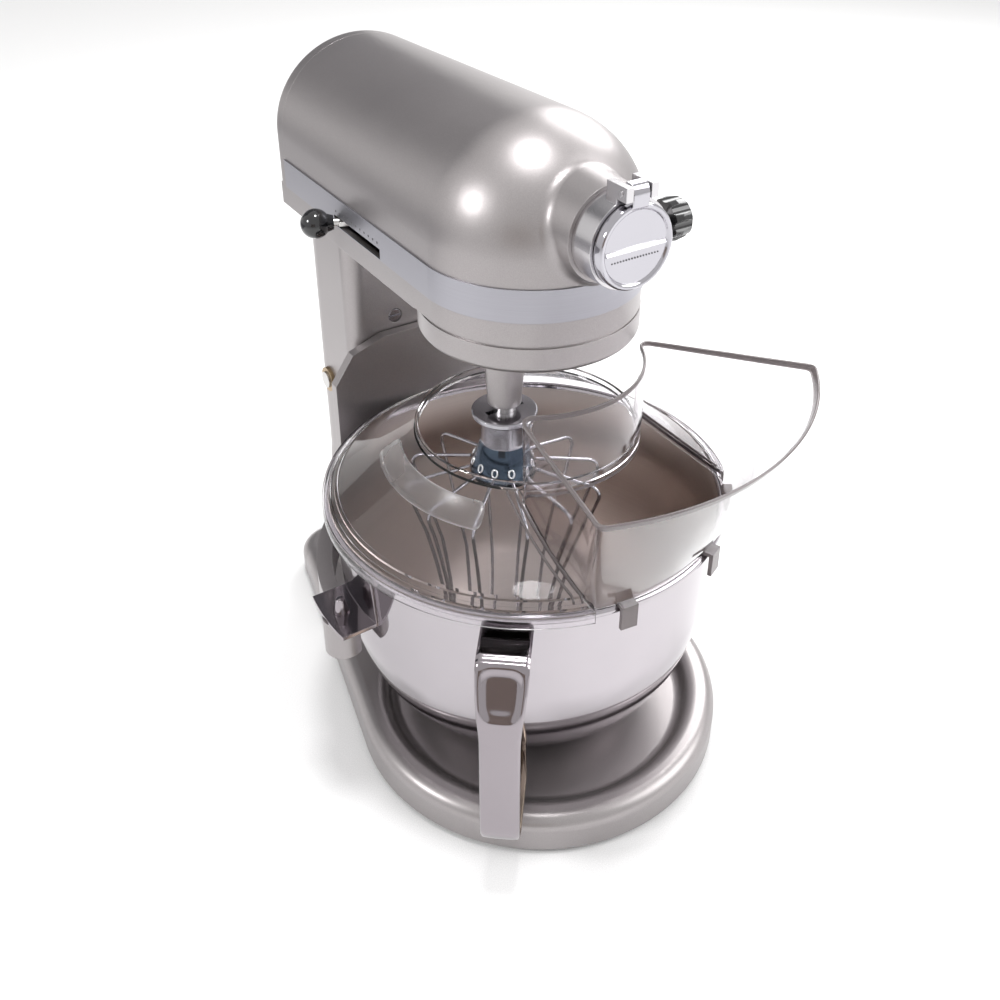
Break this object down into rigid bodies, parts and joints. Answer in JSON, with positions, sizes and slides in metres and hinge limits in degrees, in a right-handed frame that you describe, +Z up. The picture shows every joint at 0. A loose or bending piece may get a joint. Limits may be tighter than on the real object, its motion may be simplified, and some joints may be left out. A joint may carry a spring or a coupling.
{
  "type": "stand mixer",
  "caption": "Bowl-lift kitchen stand mixer with planetary whisk, power hub, lift lever, steel bowl and clear pouring shield.",
  "frame": {"origin": "middle of the footprint box, on the table", "axes": "-Y towards the attachment hub at the front, +Z up, +X to the side of the bowl-lift handle"},
  "size_m": [0.285, 0.4238, 0.419],
  "materials": {
    "satin_paint": "satin metallic nickel enamel",
    "polished_bowl": "polished outside, brushed inside",
    "chrome": "mirror chrome plate",
    "brushed_trim": "brushed anodised strip",
    "clear_plastic": "clear moulded polycarbonate",
    "black_gloss": "glossy moulded knob",
    "black_matte": "fine moulded texture",
    "grey_rubber": "soft moulded",
    "steel": "machined",
    "bronze": "oiled sintered bronze",
    "copper_winding": "varnished",
    "cast_frame": "as cast"
  },
  "bodies": {
    "frame": {"base_casting": "satin_paint", "base_plate": "steel", "rubber_feet": "grey_rubber", "foot_screws": "steel", "column": "satin_paint", "slotted_screws": "chrome", "guide_rods": "steel", "bronze_bushes": "bronze", "lift_springs": "steel", "motor_housing": "satin_paint", "rear_cover": "satin_paint", "lower_housing": "satin_paint", "trim_band": "brushed_trim", "cord_inlet": "black_matte", "hub_sleeve": "satin_paint", "hub_hinge_pin": "steel", "ring_gear": "steel", "shaft_brackets": "cast_frame", "motor_bearings": "steel", "motor_stator": "steel", "brush_holders": "black_matte", "speed_control": "black_matte"},
    "lift": {"lift_slider": "cast_frame", "bowl_yoke": "satin_paint", "locating_pins": "chrome", "bowl_latch_spring": "steel", "bowl": "polished_bowl", "bowl_brackets": "chrome", "bowl_catch_pin": "chrome", "bowl_handle": "polished_bowl", "pouring_shield": "clear_plastic", "pouring_chute": "clear_plastic", "chute_clips": "clear_plastic"},
    "lift_lever": {"lift_shaft": "steel", "lift_pinion": "steel", "lift_handle": "chrome", "lift_grip": "black_gloss"},
    "planetary": {"planet_carrier": "satin_paint", "centre_shaft": "steel", "centre_gear": "steel", "centre_bevel_gear": "steel"},
    "beater": {"beater_shaft": "steel", "beater_pinion": "steel", "shaft_cross_pin": "steel", "whisk_hub": "chrome", "whisk_wires": "steel"},
    "side_gear": {"side_shaft": "steel", "side_pinion": "steel", "worm_wheel": "bronze"},
    "armature": {"armature_shaft": "steel", "armature_core": "copper_winding", "worm": "steel", "motor_fan": "black_matte"},
    "hub_drive": {"hub_drive_shaft": "steel", "hub_bevel_gear": "steel"},
    "hub_flap": {"hub_cover": "chrome"},
    "hub_clamp_screw": {"hub_screw": "steel"},
    "hub_clamp_knob": {"hub_knob": "black_gloss"},
    "speed_control_lever": {"speed_lever": "steel", "speed_knob": "black_gloss"}
  },
  "joints": [
    {"name": "lift_handle_turn", "type": "hinge", "parent": "frame", "child": "lift_lever", "pos_m": [0, 0.1325, 0.182], "axis": [1, 0, 0], "range_deg": [0, 127.5]},
    {"name": "bowl_lift", "type": "slide", "parent": "frame", "child": "lift", "axis": [0, 0, 1], "range_m": [0, 0.04], "deforming": ["lift_springs"]},
    {"name": "planetary_spin", "type": "hinge", "parent": "frame", "child": "planetary", "pos_m": [0, -0.047, 0.3], "axis": [0, 0, 1], "continuous": true},
    {"name": "beater_spin", "type": "hinge", "parent": "planetary", "child": "beater", "pos_m": [-0.02406, -0.05926, 0.3], "axis": [0, 0, 1], "continuous": true},
    {"name": "side_gear_spin", "type": "hinge", "parent": "frame", "child": "side_gear", "pos_m": [0.021, 0.00599, 0.33], "axis": [0, 0, 1], "continuous": true},
    {"name": "armature_spin", "type": "hinge", "parent": "frame", "child": "armature", "pos_m": [0, 0.083, 0.368], "axis": [0, 1, 0], "continuous": true},
    {"name": "hub_drive_spin", "type": "hinge", "parent": "frame", "child": "hub_drive", "pos_m": [0, -0.097, 0.373], "axis": [0, 1, 0], "continuous": true},
    {"name": "hub_cover_hinge", "type": "hinge", "parent": "frame", "child": "hub_flap", "pos_m": [0, -0.1362, 0.4014], "axis": [-1, 0, 0], "range_deg": [0, 115]},
    {"name": "hub_screw_slide", "type": "slide", "parent": "frame", "child": "hub_clamp_screw", "axis": [1, 0, 0], "range_m": [0, 0.00375]},
    {"name": "hub_knob_turn", "type": "hinge", "parent": "hub_clamp_screw", "child": "hub_clamp_knob", "pos_m": [0.036, -0.119, 0.373], "axis": [1, 0, 0], "range_deg": [0, 1080.5]},
    {"name": "speed_lever_turn", "type": "hinge", "parent": "frame", "child": "speed_control_lever", "pos_m": [0, 0.041, 0.329], "axis": [0, 0, 1], "range_deg": [0, 44]}
  ],
  "couplings": [
    {"joint": "lift_handle_turn", "follows": "bowl_lift", "rad_per_m": 55.556},
    {"joint": "beater_spin", "follows": "planetary_spin", "ratio": -3},
    {"joint": "side_gear_spin", "follows": "planetary_spin", "ratio": -2.8},
    {"joint": "armature_spin", "follows": "planetary_spin", "ratio": -44.8},
    {"joint": "hub_drive_spin", "follows": "planetary_spin", "ratio": -1.6},
    {"joint": "hub_knob_turn", "follows": "hub_screw_slide", "rad_per_m": 5026.5}
  ]
}
